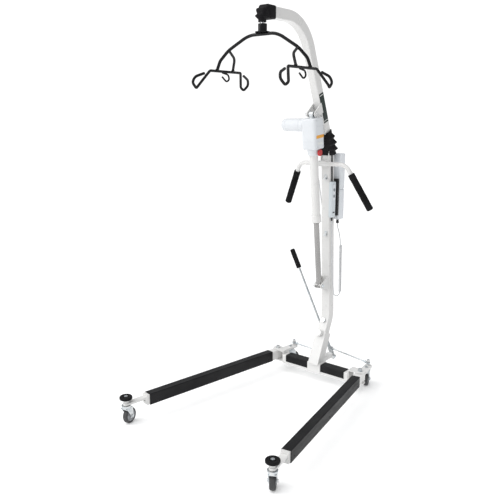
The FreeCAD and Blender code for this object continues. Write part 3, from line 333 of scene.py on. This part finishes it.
def make_finishes():
    f = {}
    f["white_coat"] = made("white_powder_coat", (0.685, 0.68, 0.67), (0.715, 0.71, 0.70), (0.26, 0.36), 900,
                           0.0001, strength=0.2, patch=4.0, Coat_Weight=0.2, Coat_Roughness=0.14)
    f["cover"] = made("black_extruded_cover", (0.006, 0.006, 0.007), (0.013, 0.013, 0.014), (0.30, 0.46),
                      1400, 0.0002, stretch=(1, 0.06, 1), strength=0.35, Specular_IOR_Level=0.14)
    f["rubber"] = made("black_moulded_rubber", (0.006, 0.006, 0.007), (0.014, 0.013, 0.014), (0.5, 0.72),
                       700, 0.0004, strength=0.4, Specular_IOR_Level=0.1)
    f["foam"] = made("black_foam_sleeve", (0.006, 0.006, 0.006), (0.013, 0.013, 0.014), (0.7, 0.9), 620,
                     0.0009, kind="cells", strength=0.6, Specular_IOR_Level=0.08)
    f["zinc"] = made("bright_zinc_plate", (0.50, 0.54, 0.57), (0.70, 0.71, 0.71), (0.22, 0.42), 500, 0.0002,
                     metal=1.0, stretch=(1, 1, 5), strength=0.25, patch=45.0)
    f["chrome"] = made("polished_chrome", (0.74, 0.75, 0.77), (0.82, 0.83, 0.84), (0.06, 0.14), 300, 0.0001,
                       metal=1.0, strength=0.1, patch=30.0)
    f["gloss_black"] = made("gloss_black_coat", (0.006, 0.006, 0.007), (0.012, 0.012, 0.013), (0.16, 0.28),
                            800, 0.0002, strength=0.2, Specular_IOR_Level=0.14, Coat_Weight=0.08,
                            Coat_Roughness=0.08)
    f["housing"] = made("pale_moulded_housing", (0.66, 0.685, 0.71), (0.70, 0.72, 0.745), (0.36, 0.48), 1600,
                        0.00015, strength=0.3)
    f["box"] = made("blue_grey_moulding", (0.72, 0.75, 0.78), (0.77, 0.79, 0.82), (0.36, 0.5), 1600, 0.00015,
                    strength=0.3)
    f["handset"] = made("pale_cyan_grey_moulding", (0.60, 0.65, 0.68), (0.66, 0.71, 0.74), (0.36, 0.5), 1600,
                        0.00015, strength=0.3)
    f["ram_grey"] = made("grey_ram_tube", (0.30, 0.295, 0.29), (0.35, 0.345, 0.34), (0.22, 0.32), 900, 0.0001,
                         metal=0.8, strength=0.2, patch=5.0)
    f["cord"] = made("grey_cable_jacket", (0.52, 0.53, 0.54), (0.62, 0.63, 0.64), (0.4, 0.55), 500, 0.0002,
                     strength=0.3)
    f["white_knob"] = made("white_moulded_knob", (0.72, 0.72, 0.71), (0.8, 0.8, 0.79), (0.2, 0.3), 900,
                           0.0001, strength=0.2)
    f["red"] = made("red_moulded_knob", (0.45, 0.012, 0.015), (0.60, 0.03, 0.03), (0.25, 0.4), 900, 0.0002,
                    strength=0.25)
    f["key"] = made("grey_button", (0.22, 0.25, 0.28), (0.30, 0.33, 0.36), (0.4, 0.55), 900, 0.0002,
                    strength=0.3)
    f["tyre"] = made("grey_black_tyre", (0.030, 0.031, 0.033), (0.055, 0.055, 0.057), (0.55, 0.75), 500,
                     0.0004, strength=0.5)
    f["hub"] = made("grey_wheel_hub", (0.30, 0.31, 0.33), (0.40, 0.41, 0.43), (0.35, 0.5), 700, 0.0002,
                    strength=0.3)
    f["dark_plastic"] = made("black_ribbed_rail", (0.014, 0.014, 0.015), (0.028, 0.028, 0.03), (0.4, 0.55),
                             900, 0.0003, strength=0.4)
    f["stripe"] = made("dark_green_stripe", (0.001, 0.010, 0.007), (0.002, 0.016, 0.011), (0.28, 0.4), 900,
                       0.0001, strength=0.15)
    f["pale_mark"] = made("pale_printed_band", (0.7, 0.72, 0.7), (0.8, 0.8, 0.78), (0.3, 0.4), 900, 0.0001,
                          strength=0.15)
    f["orange"] = made("orange_notice_plate", (0.72, 0.30, 0.02), (0.85, 0.42, 0.04), (0.3, 0.42), 700,
                       0.0001, strength=0.15)
    f["lens"] = made("dark_display_lens", (0.01, 0.012, 0.014), (0.02, 0.022, 0.025), (0.06, 0.12), 400,
                     0.0001, strength=0.05)
    return f


FINISH = make_finishes()


def dress(piece, finish, body, replaces=()):
    piece.data.materials.append(FINISH[finish])
    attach(piece, body)
    if replaces:
        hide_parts(*replaces)
    return piece


NODE_FINISH = {
    "white_coat": ["cross_tube", "clevis_left", "clevis_right", "mast_saddle", "mast_tube", "mast_sleeve",
                   "foot_bracket", "push_handle", "leg_left", "leg_right", "boom_tube", "boom_bracket",
                   "boom_end", "outer_tube"],
    "cover": ["leg_cover_left", "leg_cover_right", "cross_pad_left", "cross_pad_right"],
    "rubber": ["bumper_left", "bumper_right"],
    "zinc": ["frame_bolts", "shift_crank", "shift_lever", "tie_rod_left", "tie_rod_right", "cable_clips",
             "caster_fork_front_left", "caster_fork_front_right", "caster_fork_rear_left",
             "caster_fork_rear_right"],
    "ram_grey": ["piston_rod"],
    "chrome": ["hanger_neck"],
    "gloss_black": ["cradle_arch", "crossbar_left", "crossbar_right", "cradle_hub"],
    "dark_plastic": ["box_rail"],
    "key": ["button_up", "button_down"],
    "red": ["lowering_knob", "stop_button"],
    "white_knob": ["lock_knob"],
}


def dress_nodes():
    for finish, names in NODE_FINISH.items():
        for name in names:
            slots = frame["nodes"][name].material_slots
            for entry in slots:
                entry.material = FINISH[finish]


# ------------------------------------------------------------ camera, light and floor

def set_camera():
    azimuth, elevation = math.radians(38.87), math.radians(12.34)
    back = Vector((math.sin(azimuth) * math.cos(elevation), -math.cos(azimuth) * math.cos(elevation),
                   math.sin(elevation)))
    data = bpy.data.cameras.new("view_camera")
    data.lens, data.sensor_width = 44.21, 36.0
    data.clip_end = 60
    camera = bpy.data.objects.new("view_camera", data)
    camera.location = at(1673, -2653, 1407)
    camera.rotation_euler = (-back).to_track_quat("-Z", "Y").to_euler()
    bpy.context.collection.objects.link(camera)
    bpy.context.scene.camera = camera


def add_light(name, place, target, size, power, colour=(1, 1, 1)):
    data = bpy.data.lights.new(name, "AREA")
    data.shape, data.size, data.energy, data.color = "DISK", size, power, colour
    light = bpy.data.objects.new(name, data)
    light.location = place
    light.rotation_euler = (Vector(target) - Vector(place)).to_track_quat("-Z", "Y").to_euler()
    bpy.context.collection.objects.link(light)


def set_stage():
    """White floor and background with broad soft daylight from the front left and above."""
    side = 14.0
    n = 2
    u, v = np.meshgrid(np.linspace(-side, side, n), np.linspace(-side, side, n), indexing="ij")
    verts = np.stack([u, v, np.zeros_like(u)], -1).reshape(-1, 3)
    mesh = bpy.data.meshes.new("floor")
    mesh.from_pydata(verts.tolist(), [], [(0, 2, 3, 1)])
    floor = bpy.data.objects.new("floor", mesh)
    bpy.context.collection.objects.link(floor)
    floor.data.materials.append(made("white_sweep", (0.95, 0.95, 0.95), (0.97, 0.97, 0.97), (0.8, 0.9), 40,
                                     0.00005, Specular_IOR_Level=0.1, Emission_Color=(1, 1, 1, 1),
                                     Emission_Strength=0.16))
    world = bpy.data.worlds.new("studio")
    world.use_nodes = True
    nodes, joins = world.node_tree.nodes, world.node_tree.links
    nodes["Background"].inputs["Color"].default_value = (0.98, 0.99, 1.0, 1)
    nodes["Background"].inputs["Strength"].default_value = 0.50
    backdrop = nodes.new("ShaderNodeBackground")
    backdrop.inputs["Color"].default_value = (1, 1, 1, 1)
    backdrop.inputs["Strength"].default_value = 1.1
    choice = nodes.new("ShaderNodeMixShader")
    joins.new(nodes.new("ShaderNodeLightPath").outputs["Is Camera Ray"], choice.inputs["Fac"])
    joins.new(nodes["Background"].outputs["Background"], choice.inputs[1])
    joins.new(backdrop.outputs["Background"], choice.inputs[2])
    joins.new(choice.outputs["Shader"], nodes["World Output"].inputs["Surface"])
    bpy.context.scene.world = world
    bpy.context.scene.view_settings.view_transform = "Standard"
    sky = bpy.data.lights.new("daylight", "SUN")
    sky.energy, sky.angle = 2.1, math.radians(80)
    lamp = bpy.data.objects.new("daylight", sky)
    lamp.rotation_euler = Vector((0.15, 0.5, -0.85)).to_track_quat("-Z", "Y").to_euler()
    bpy.context.collection.objects.link(lamp)
    add_light("key", (-2.4, -2.6, 2.6), (0, 0, 0.9), 1.6, 30)


# ------------------------------------------------------------ boots

def ring_along(centre, side, depth, outline):
    return centre + outline[:, :1] * side + outline[:, 1:] * depth


def mast_boot():
    """Gaiter: rounded rings up the mast head and boom; ring k is swollen by a fold wave s(t).

    s(t) rises slowly and falls fast in each fold, so each pleat droops; the rear side swells most.
    """
    rows, folds = 72, 3
    t = np.linspace(0, 1, rows)
    wave = np.clip((t - 0.18) / 0.70, 0, 0.9999) * folds % 1.0
    fold = np.where(wave < 0.35, wave / 0.35, 1 - (wave - 0.35) / 0.65) ** 1.2
    swell = np.where((t > 0.18) & (t < 0.88), 15 * fold * (1.15 - 0.55 * t), 0.0)
    swell = np.where(t <= 0.18, 7 * np.sin(math.pi * np.clip(t / 0.18, 0, 1)), swell)
    z = 1211 + 120 * t
    lean = np.clip((t - 0.15) / 0.7, 0, 1) * math.radians(22)
    centre_y = 54 - 0.02 * (z - 1211) - 30 * np.clip((t - 0.2) / 0.8, 0, 1)
    a = 27.5 + 5 * np.sin(math.pi * np.clip(t * 1.2, 0, 1))
    b = 27 + 5 * np.sin(math.pi * np.clip(t * 1.2, 0, 1))
    grid = []
    for k in range(rows):
        outline = rect(2 * a[k], 2 * b[k], 12, 7)
        reach = np.linalg.norm(outline, axis=1, keepdims=True)
        rearward = 0.65 + 0.5 * outline[:, 1:] / reach
        outline = outline + outline / reach * swell[k] * rearward
        depth = np.array([0, math.cos(lean[k]), math.sin(lean[k])])
        grid.append(ring_along(at(0, centre_y[k], z[k]), X, depth, outline * MM))
    grid = np.array(grid)
    piece = skin("mast_gaiter", with_inside(grid, 2.2), 38.0, ring=True)
    piece.data.materials.append(FINISH["rubber"])
    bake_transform(piece)
    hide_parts("mast_boot")
    return piece


def with_inside(grid, wall):
    """Adds inner rings, each drawn in towards its own middle by the wall, so that a sleeve has thickness."""
    middle = grid.mean(1, keepdims=True)
    ray = grid - middle
    inner = middle + ray * (1 - wall * MM / np.linalg.norm(ray, axis=2, keepdims=True))
    return np.concatenate([grid, inner[::-1]])


def end_boot():
    """Elbow gaiter: a collar on the boom's end, then rings turned a quarter round a hinge under the boom.

    A ring at angle g reaches from r to R(g) along (0, -sin g, cos g); R swells in three pleats.
    """
    t = np.linspace(0, 1, 84)
    turn = np.clip((t - 0.24) / 0.66, 0, 1)
    angle = turn * math.pi / 2
    wave = turn * 3 % 1.0
    fold = np.where(wave < 0.5, wave * 2, 2 - wave * 2) ** 1.3
    fold = np.where((turn > 0) & (turn < 1), fold, 0)
    near = 6 + 6 * turn
    far = 62 - 16 * turn ** 1.3
    along = -np.clip((0.24 - t) / 0.24, 0, 1) * 30
    drop = np.clip((t - 0.90) / 0.10, 0, 1) * 10
    grid = []
    for k in range(len(t)):
        outward = np.array([0, -math.sin(angle[k]), math.cos(angle[k])])
        centre = at(0, -466 - along[k], 1802 - drop[k]) + outward * (near[k] + far[k]) / 2 * MM
        wide = 56 - 24 * turn[k] ** 1.2
        outline = rect(wide, far[k] - near[k], 8 + 6 * turn[k], 7)
        reach = np.linalg.norm(outline, axis=1, keepdims=True)
        outer = np.clip(0.45 + 0.8 * outline[:, 1:] / reach, 0.1, 1.2)
        outline = outline + outline / reach * (3 + 9 * turn[k]) * fold[k] * outer
        grid.append(ring_along(centre, X, outward, outline * MM))
    piece = skin("hanger_gaiter", with_inside(np.array(grid), 2.0), 38.0, ring=True)
    piece.data.materials.append(FINISH["rubber"])
    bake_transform(piece)
    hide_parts("end_boot")
    return piece


# ------------------------------------------------------------ actuator

RAM_FOOT = at(0, 0, 535)
RAM_AXIS = unit(at(0, -100, 1414) - RAM_FOOT)
RAM_LENGTH = np.linalg.norm(at(0, -100, 1414) - RAM_FOOT) / MM
RAM_DEPTH = np.cross(RAM_AXIS, X)
EYE_TO_CASE = 18
CASE_LENGTH = 150
TUBE_IN_CASE = 28
TUBE_LENGTH = 400


def on_ram(x, depth, height):
    """A point of the actuator: sideways, behind its axis and up from its foot pin, in millimetres."""
    return RAM_FOOT + (x * X + depth * RAM_DEPTH + height * RAM_AXIS) * MM


def actuator():
    top = RAM_LENGTH - EYE_TO_CASE
    low = top - CASE_LENGTH
    case = shell("gear_case", 83, 83, CASE_LENGTH, 15, 9, on_ram(0, 0, low), RAM_AXIS, X,
                 grooves=[(38, 0.8, 0.7), (112, 0.8, 0.7)], taper=0.0)
    dress(case, "housing", "ram_body", ["gear_housing"])
    collar = turned("case_flange", [(0, low - 30), (29, low - 30), (30, low - 6), (33, low + 2),
                                    (0, low + 2)], RAM_FOOT, RAM_AXIS, [0, 2, 4, 1, 0])
    dress(collar, "housing", "ram_body")
    lug = shell("case_lug", 22, 26, 18, 4, 2, on_ram(0, 0, top - 2), RAM_AXIS, X)
    dress(lug, "zinc", "ram_body")
    eye = turned_ring("case_eye", [(5.4, -11), (13, -11), (13, 11), (5.4, 11)], on_ram(0, 0, RAM_LENGTH), X,
                      1.0)
    dress(eye, "zinc", "ram_body")
    barrel = turned("motor_case", [(0, 0), (31.5, 0), (32, 20), (30.6, 21), (30.6, 23), (32, 24), (31.5, 96),
                                   (30, 98), (30, 100), (31, 102), (29.5, 128), (0, 128)],
                    on_ram(-42.4, 0, top - 34), -X, [0, 1, .5, .5, .5, .5, .5, .5, .5, 1, 12, 0], hint=Z)
    dress(barrel, "housing", "ram_body", ["motor"])
    for row, depth in enumerate((-30, 30)):
        for height in (low + 12, low + 138):
            screw = turned("case_screw_%d_%d" % (row, height),
                           [(0, 0), (3.4, 0), (3.4, 0.8), (1.4, 1.4), (0, 0.4)],
                           on_ram(41.3, depth * 0.8, height), X, [0, 0, .5, 0, 0], hint=Z, around=16)
            dress(screw, "zinc", "ram_body")
    plate = shell("notice_plate", 15, 64, 0.9, 2.0, 0.3, on_ram(41.2, 0, low + 62), X, RAM_AXIS)
    dress(plate, "orange", "ram_body")
    rating = shell("rating_plate", 11, 44, 0.8, 1.5, 0.3, on_ram(41.2, 0, low + 30), X, RAM_AXIS)
    dress(rating, "pale_mark", "ram_body")
    for side in (-1, 1):
        clip = circle_path(on_ram(side * 31, 0, RAM_LENGTH), X, 0.0095, 40)[3:37]
        dress(tube("eye_circlip_%d" % side, clip, 0.0011, 8), "zinc", "boom_arm")


def rod_wiper():
    """Wiper ring at the mouth of the outer tube."""
    low = RAM_LENGTH - EYE_TO_CASE - CASE_LENGTH + TUBE_IN_CASE - TUBE_LENGTH
    wiper = turned_ring("rod_wiper", [(14.2, -3), (19, -3), (20, 1), (14.2, 1)], on_ram(0, 0, low), RAM_AXIS,
                        0.8)
    dress(wiper, "dark_plastic", "ram_body")


# ------------------------------------------------------------ boxes and handset

def box_parts():
    low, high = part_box("control_box")
    middle = (np.array(low) + np.array(high)) / 2
    bottom = at(0, 0, 876)[2]
    base = np.array([middle[0], middle[1], bottom])
    body = shell("control_case", 99.4, 51.4, 158, 11, 6, base, Z, X,
                 grooves=[(46, 0.9, 0.9), (118, 0.9, 0.9)])
    dress(body, "box", "base", ["control_box"])
    gland = turned("box_gland", [(0, 0), (7, 0), (8, 3), (8, 9), (6.5, 10), (6.5, 22), (0, 22)],
                   at(34, 111.9, 856.5), Z, [0, 1, 1, 1, 0.5, 0, 0], around=32)
    dress(gland, "dark_plastic", "base")
    low, high = (np.array(c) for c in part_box("battery_pack"))
    foot = np.array([(low[0] + high[0]) / 2, (low[1] + high[1]) / 2, low[2]])
    pack = shell("battery_case", 99.4, 51.4, (high[2] - low[2]) / MM, 11, 8, foot, Z, X,
                 grooves=[(12, 0.9, 0.8), (150, 0.9, 0.8)])
    dress(pack, "box", "battery", ["battery_pack"])
    rear = high[1]
    slot = shell("battery_grab", 62, 38, 1.0, 12, 0.4, np.array([0, rear - 0.0006, low[2] + 0.142]), Y, X)
    dress(slot, "dark_plastic", "battery")
    lens = shell("charge_window", 30, 8, 1.0, 3, 0.4, np.array([0, rear - 0.0004, low[2] + 0.085]), Y, X)
    dress(lens, "lens", "battery")
    for row in range(9):
        rib = shell("rail_rib_%d" % row, 3, 5.6, 12, 1, 0.5, at(45.2, 92, 906 + row * 20), Z, X)
        dress(rib, "dark_plastic", "base")
    strip = shell("mast_strip", 5, 9, 146, 1.5, 1.0, at(27.6, 57, 1078), unit([0, -0.0494, 1]), X)
    dress(strip, "dark_plastic", "base")


def handset():
    low, high = (np.array(c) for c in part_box("handset"))
    bottom = at(0, 0, 895)[2]
    base = np.array([(low[0] + high[0]) / 2, (low[1] + high[1]) / 2, bottom])
    body = shell("handset_case", 21, 40, 184, 7, 7, base, Z, X, grooves=[(30, 0.7, 0.6)])
    dress(body, "handset", "base", ["handset"])
    neck = turned("handset_gland", [(0, 0), (4, 0), (6, 14), (6, 22), (0, 22)], base - Z * 0.019, Z,
                  [0, 1, 3, 0, 0], around=28)
    dress(neck, "dark_plastic", "base")
    face = high[0]
    for height in (1005, 1037):
        centre = np.array([face + 0.0002, base[1], at(0, 0, height)[2]])
        bezel = turned_ring("button_bezel_%d" % height, [(7.2, -1), (9.4, -1), (9.4, 0.9), (7.2, 0.9)],
                            centre, X, 0.6, hint=Z)
        dress(bezel, "cord", "base")
    window = shell("handset_hook", 7, 20, 1.0, 3.4, 0.4, np.array([face - 0.0004, base[1], bottom + 0.026]),
                   X, Z)
    dress(window, "lens", "base")
    plate = shell("handset_plate", 78, 27, 0.8, 4, 0.3, np.array([face - 0.0003, base[1], bottom + 0.128]),
                  X, Z)
    dress(plate, "box", "base")


# ------------------------------------------------------------ grips, wheels and small fittings

def foam_grip(name, node, origin, axis, length, radius, bore, body):
    """Foam sleeve: radius r0 + a sin(h) with shallow hand rings and rounded ends."""
    heights = np.linspace(3, length - 5, 90)
    wave = radius + 0.35 * np.sin(heights * 2 * math.pi / 9.0) + 0.25 * np.sin(heights * 2 * math.pi / 61.0)
    profile = [(bore, 0), (radius - 2.6, 0), (radius - 0.8, 0.9)]
    profile += list(zip(wave, heights))
    profile += [(radius - 1.5, length - 2.4), (radius - 5, length - 0.5), (0, length)]
    piece = turned(name, profile, origin, axis, 0.0, around=56)
    dress(piece, "foam", body, [node])


def grips():
    for side, word in ((1, "left"), (-1, "right")):
        corner, end = at(side * 135, 5, 1171), at(side * 249, 63, 950)
        way = unit(end - corner)
        foam_grip("hand_grip_" + word, "grip_" + word, end - way * 0.203, way, 203, 16.9, 10.9, "base")
    lean = math.radians(26.7)
    way = np.array([-math.sin(lean), 0, math.cos(lean)])
    foam_grip("lever_grip", "shift_grip", at(0, 150, 112) + way * 0.508, way, 114, 13.6, 6.2, "lever")


def wheels():
    """Tyre, dished hub and five bosses on each face of the hub for each caster, about the record's own wheel
    axes.
    """
    for corner in ("front_left", "front_right", "rear_left", "rear_right"):
        joint = JOINTS["wheel_roll_" + corner]
        centre, axis, body = np.array(joint["pos_m"]), np.array(joint["axis"]), "roll_" + corner
        tread = [(26, -10), (29, -12.5), (33, -12.5), (37.2, -8), (37.5, 0), (37.2, 8), (33, 12.5),
                 (29, 12.5), (26, 10)]
        tyre = turned_ring("tyre_" + corner, tread, centre, axis, [1, 1.5, 3, 5, 0, 5, 3, 1.5, 1], hint=Z,
                           around=72)
        dress(tyre, "tyre", body, ["caster_wheel_" + corner])
        disc = [(4.1, -13.4), (9, -13.4), (9.5, -9), (13, -6), (22, -6), (25, -10.4), (26.6, -10.4),
                (26.6, 10.4), (25, 10.4), (22, 6), (13, 6), (9.5, 9), (9, 13.4), (4.1, 13.4)]
        hub = turned_ring("hub_" + corner, disc, centre, axis, [0, .6, 1, 3, 2, 1, .4, .4, 1, 2, 3, 1, .6, 0],
                          hint=Z, around=64)
        dress(hub, "hub", body)
        dots = circle_path(centre, axis, 0.0175, 5)
        for k, dot in enumerate(dots):
            for way in (-1, 1):
                pad = turned("hub_boss_%s_%d_%d" % (corner, k, way), [(0, 0), (2.6, 0), (2.2, 2.2), (0, 2.2)],
                             dot + axis * way * 0.0056, axis * way, [0, 0, .6, 0], around=14)
                dress(pad, "hub", body)


def hexagon(name, centre, axis, across, height, body, finish="zinc"):
    """Hexagonal nut with chamfered rims: r = across/2 / cos(a mod 60 deg), inset at both ends."""
    u, v, w = base_vectors(axis, X if abs(np.dot(unit(axis), X)) < 0.9 else Y)
    a = np.linspace(0, 2 * math.pi, 36, endpoint=False)
    local = (a + math.pi / 6) % (math.pi / 3) - math.pi / 6
    flat = across / 2 / np.cos(local)
    grid = []
    for h, limit in ((0, 0.53), (0.7, 0.6), (height - 0.7, 0.6), (height, 0.53)):
        r = np.minimum(flat, across * limit) * MM
        grid.append(centre + h * MM * w + r[:, None] * (np.cos(a)[:, None] * u + np.sin(a)[:, None] * v))
    dress(skin(name, np.array(grid), 25.0), finish, body)


def fasteners():
    """Nuts on the linkage, nuts at the pivots and screws in the covers."""
    for side, word in ((1, "left"), (-1, "right")):
        leg = word + "_leg"
        swing = math.radians(side * 9.57)
        ahead = np.array([math.sin(swing), -math.cos(swing), 0])
        across = np.array([math.cos(swing), math.sin(swing), 0])
        pivot = at(side * 261, 0, 0)
        for k, reach in enumerate((0.095, 0.46, 0.83)):
            for way in (-1, 1):
                place = pivot + ahead * reach + across * way * 0.0217 + Z * 0.082
                screw = turned("cover_screw_%s_%d_%d" % (word, k, way),
                               [(0, 0), (3.2, 0), (2.6, 1.5), (0, 1.7)], place, across * way, [0, 0, 1, 0],
                               around=16)
                dress(screw, "gloss_black", leg)
        hexagon("stud_nut_" + word, pivot - ahead * 0.130 + Z * 0.1365, Z, 13, 4, leg)
        hexagon("pivot_nut_" + word, at(side * 261, 0, 134.0), Z, 17, 4, "base")
    hexagon("crank_nut", at(0, 158.5, 112), Y, 15, 4, "base")


def welds():
    """Beads where the socket meets the saddle, the handle meets the mast and the cradle's rods meet."""
    ring = rect(61, 62, 3, 6)
    path = np.stack([ring[:, 0], ring[:, 1] - 12.6, np.full(len(ring), 110.6)], -1) * MM
    path[:, 1] += PIVOT_LINE
    path = smooth_line(np.vstack([path, path[:1]]), 5)[:-1]
    dress(bead("socket_weld", path, 0.0022, True, 3), "white_coat", "base")
    for z, seed in ((1155.4, 5), (1186.6, 6)):
        line = np.linspace(at(-21, 31.6, z), at(21, 31.6, z), 40)
        dress(bead("handle_weld_%d" % seed, line, 0.0018, seed=seed), "white_coat", "base")
    for side in (-1, 1):
        for fore, drop, radius in ((-57, 136.5, 0.0077), (49, 137, 0.0067)):
            centre = at(side * 207, -493 + (fore if side < 0 else -fore), 1744 - drop)
            ring = circle_path(centre, Z, radius, 36)
            dress(bead("rod_weld_%d_%d" % (side, fore), ring, 0.0014, True, 7), "gloss_black", "cradle")


def stripe():
    """Plain dark stripe on the boom's side with two pale bands."""
    low, high = at(0, 0, 1376), at(0, 0, 1513)
    foot = at(20.0, 47 - 0.405 * (1376 - 1260), 1376)
    way = unit([0, -0.405, 1])
    length = (high[2] - low[2]) / way[2] / MM
    band = shell("boom_stripe", length, 40, 0.8, 1.0, 0.3, foot + way * length / 2 * MM - X * 0.0002, X, way)
    dress(band, "stripe", "boom_arm")
    for k, share in enumerate((0.07, 0.93)):
        mark = shell("stripe_band_%d" % k, 3.0, 34, 0.5, 0.8, 0.2,
                     foot + way * length * share * MM + X * 0.0004, X, way)
        dress(mark, "pale_mark", "boom_arm")


# ------------------------------------------------------------ cords

HANDSET_CORD = [(36.5, 48.5, 876), (36.5, 48.5, 830), (37.5, 53, 776), (36, 58, 716), (37, 63, 656),
                (36, 69, 598), (38, 73.5, 552), (40, 77.5, 522), (41.8, 79.4, 500), (42.1, 80.6, 484),
                (44, 83.6, 472.5), (48.6, 91.4, 465.7), (54.4, 101.6, 465.7), (59.2, 110, 472.5),
                (61, 113, 484)]
COIL_CORD = [(57, 112, 744), (54, 112, 772), (45, 112, 812), (35, 111.9, 838), (34, 111.9, 856)]
MOTOR_CABLE = [(-34, -66, 1246), (-34, -60, 1222), (-33, -34, 1186), (-32, 0, 1140), (-34, 28, 1086),
               (-36, 46, 1028), (-36, 61, 970), (-35, 74, 920), (-34, 82.5, 884), (-32.5, 95, 860),
               (-31, 108, 847), (-30, 121, 846), (-30, 128.5, 857), (-30, 129.5, 875)]


def places(route):
    return np.array([at(*point) for point in route])


def cords():
    thin = cord_curve("handset_lead", places(HANDSET_CORD), 0.005)
    dress(thin, "cord", "base", ["handset_cord"])
    start, end = at(61, 113, 484), at(57, 112, 744)
    turns, per = 40, 16
    t = np.linspace(0, 1, turns * per + 1)
    u, v, _ = base_vectors(end - start, X)
    angle = t * turns * 2 * math.pi
    ease = np.clip(np.minimum(t, 1 - t) / 0.02, 0, 1)
    ease = ease * ease * (3 - 2 * ease)
    radial = np.cos(angle)[:, None] * u + np.sin(angle)[:, None] * v
    path = start + (end - start) * t[:, None] + radial * 0.0055 * ease[:, None]
    coil = tube("handset_spiral", path, 0.0025, 8, hint=radial)
    dress(coil, "cord", "base", ["handset_coil"])
    lead = cord_curve("box_lead", places(COIL_CORD[::-1]), 0.005)
    dress(lead, "cord", "base", ["coil_cord"])
    path = smooth_line(places(MOTOR_CABLE[::-1]), 8)
    feed = tube("motor_lead", path, 0.0025, 12)
    dress(feed, "cord", "base", ["motor_cable"])
    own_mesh(feed)


# ------------------------------------------------------------ put together

set_camera()
cords()
set_stage()
dress_nodes()
mast_boot()
end_boot()
actuator()
rod_wiper()
box_parts()
handset()
grips()
wheels()
fasteners()
welds()
stripe()
